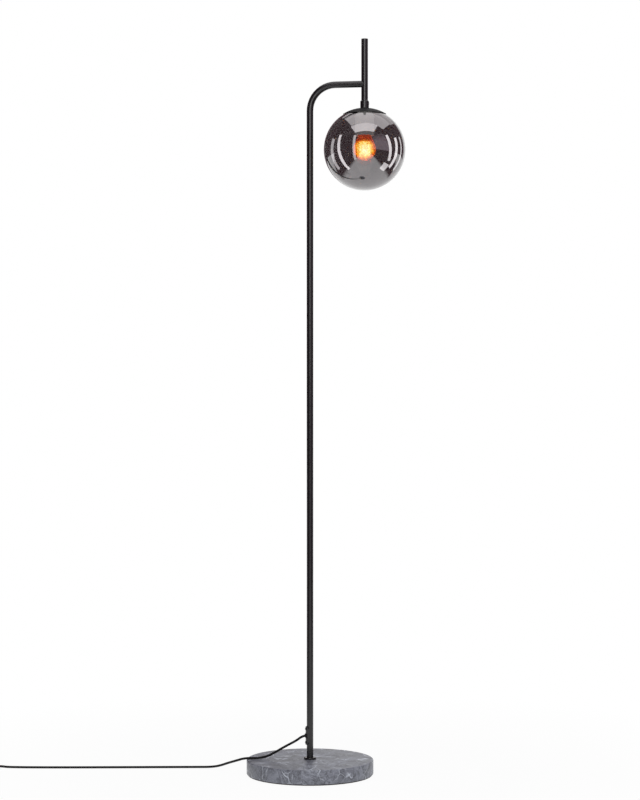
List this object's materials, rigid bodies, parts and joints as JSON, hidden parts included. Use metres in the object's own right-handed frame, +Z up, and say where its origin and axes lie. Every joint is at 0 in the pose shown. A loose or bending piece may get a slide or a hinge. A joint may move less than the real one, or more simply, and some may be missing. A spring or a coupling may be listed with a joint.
{
  "type": "floor lamp",
  "caption": "Slim floor lamp: a round marble base, a bent black tube with an upright stem, a mirrored smoked-glass globe under a dome, a cord with foot switch and plug.",
  "frame": {"origin": "middle of the base's underside, on the floor", "axes": "+Z up along the pole, +X from the pole along the arm to the globe"},
  "size_m": [1.0486, 0.25, 1.4461],
  "materials": {
    "black_steel": "black powder coat, satin",
    "black_screws": "blackened",
    "marble": "grey marble with white veins, honed",
    "pad": "dark foam rubber",
    "plain_steel": "zinc plated",
    "spring_steel": "plain",
    "smoked_mirror_glass": "smoked, half mirrored",
    "silicone": "translucent",
    "black_rubber": "matt",
    "cord": "smooth black PVC",
    "leads": "brown and blue insulation",
    "holder_plastic": "light grey thermoset",
    "ceramic": "unglazed",
    "brass": "plain",
    "bulb_cap_metal": "plain",
    "cap_glass": "black vitrite",
    "clear_glass": "clear",
    "glowing_filament": "lit",
    "support_wire": "plain",
    "black_plastic": "fine texture",
    "contact_block": "plain",
    "pin_metal": "nickel plated"
  },
  "bodies": {
    "lamp": {"base_nut": "plain_steel", "base_pad": "pad", "centre_contact": "brass", "clamp_plate": "plain_steel", "collar": "black_steel", "collar_set_screw": "black_screws", "cord_coil": "cord", "cord_exit_plate": "black_steel", "cord_from_switch": "cord", "cord_grommet": "black_rubber", "cord_to_plug": "cord", "cord_to_switch": "cord", "dome_cap": "black_steel", "dome_gasket": "silicone", "exit_plate_screws": "black_screws", "foot_plug_and_stud": "plain_steel", "foot_rosette": "black_steel", "glass_globe": "smoked_mirror_glass", "globe_clip": "spring_steel", "holder_cap": "holder_plastic", "holder_core": "ceramic", "holder_skirt": "holder_plastic", "hollow_nipple": "plain_steel", "inner_leads": "leads", "lock_washer": "plain_steel", "marble_base": "marble", "nipple_nut": "plain_steel", "plug_body": "black_plastic", "plug_pins": "pin_metal", "plug_relief": "black_plastic", "pole_and_arm": "black_steel", "socket_sleeve": "brass", "stem_top_cap": "black_steel", "stem_tube": "black_steel", "switch_contact_block": "contact_block", "switch_leads": "leads", "switch_lower_shell": "black_plastic", "switch_screws": "plain_steel", "switch_sleeves": "black_rubber", "switch_spring": "plain_steel", "switch_upper_shell": "black_plastic", "terminal_posts": "brass", "terminal_screws": "plain_steel"},
    "bulb": {"bulb_cap": "bulb_cap_metal", "bulb_cap_insulator": "cap_glass", "bulb_tip_contact": "brass", "bulb_glass": "clear_glass", "bulb_glass_stem": "clear_glass", "bulb_filaments": "glowing_filament", "bulb_supports": "support_wire"},
    "button": {"switch_button": "black_plastic"}
  },
  "joints": [
    {"name": "bulb_unscrew", "type": "hinge", "parent": "lamp", "child": "bulb", "pos_m": [0.109, 0, 1.2295], "axis": [0, 0, -1], "range_deg": [0, 1080]},
    {"name": "switch_press", "type": "slide", "parent": "lamp", "child": "button", "axis": [0, 0, -1], "range_m": [0, 0.003], "stiffness_N_per_m": 900, "springref_m": -0.002, "deforming": ["switch_spring"]}
  ]
}
